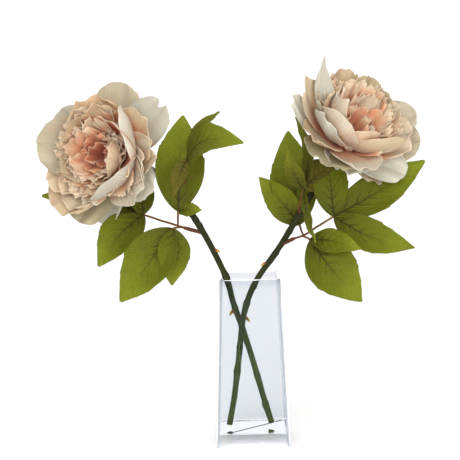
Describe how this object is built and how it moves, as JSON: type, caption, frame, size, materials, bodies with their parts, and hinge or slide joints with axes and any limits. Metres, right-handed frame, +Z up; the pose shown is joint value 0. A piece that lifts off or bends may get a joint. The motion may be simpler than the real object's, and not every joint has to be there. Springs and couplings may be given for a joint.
{
  "type": "peony stems in a bud vase",
  "caption": "Peony stems with full double blooms and divided leaves, standing crossed in a square tapered clear glass bud vase.",
  "frame": {"origin": "centre of the vase's flat underside, on the surface it stands on", "axes": "+Z up, +X to the right and -Y towards the viewer of the blooms' open faces"},
  "size_m": [0.367, 0.1181, 0.3469],
  "materials": {
    "clear_glass": "clear, polished",
    "stem_green": "matte, ridged",
    "stalk_brown": "matte",
    "leaf_green": "satin, veined",
    "sepal_green": "matte",
    "petal_cream": "matte, finely veined",
    "petal_peach": "matte, finely veined",
    "petal_coral": "matte, ruffled"
  },
  "bodies": {
    "root": {"vase": "clear_glass", "stem_left": "stem_green", "stem_right": "stem_green", "leaf_left_terminal": "leaf_green", "leaf_left_upright": "leaf_green", "leaf_left_low": "leaf_green", "leaf_left_upper": "leaf_green", "leaf_right_terminal": "leaf_green", "leaf_right_upright": "leaf_green", "leaf_right_low": "leaf_green", "leaf_right_upper": "leaf_green", "stalk_left_lower": "stalk_brown", "stalk_left_upper": "stalk_brown", "stalk_right_lower": "stalk_brown", "stalk_right_upper": "stalk_brown", "calyx_left": "sepal_green", "heart_left": "petal_coral", "crown_left_1": "petal_coral", "crown_left_2": "petal_coral", "crown_left_3": "petal_coral", "cup_left_1": "petal_peach", "cup_left_2": "petal_peach", "cup_left_3": "petal_peach", "cup_left_4": "petal_peach", "cup_left_5": "petal_peach", "collar_left_1": "petal_cream", "collar_left_2": "petal_cream", "collar_left_3": "petal_cream", "collar_left_4": "petal_cream", "collar_left_5": "petal_cream", "collar_left_6": "petal_cream", "guard_left_1": "petal_cream", "guard_left_2": "petal_cream", "guard_left_3": "petal_cream", "guard_left_4": "petal_cream", "guard_left_5": "petal_cream", "guard_left_6": "petal_cream", "calyx_right": "sepal_green", "heart_right": "petal_coral", "crown_right_1": "petal_coral", "crown_right_2": "petal_coral", "crown_right_3": "petal_coral", "cup_right_1": "petal_peach", "cup_right_2": "petal_peach", "cup_right_3": "petal_peach", "cup_right_4": "petal_peach", "cup_right_5": "petal_peach", "collar_right_1": "petal_cream", "collar_right_2": "petal_cream", "collar_right_3": "petal_cream", "collar_right_4": "petal_cream", "collar_right_5": "petal_cream", "collar_right_6": "petal_cream", "guard_right_1": "petal_cream", "guard_right_2": "petal_cream", "guard_right_3": "petal_cream", "guard_right_4": "petal_cream", "guard_right_5": "petal_cream", "guard_right_6": "petal_cream"}
  },
  "joints": []
}
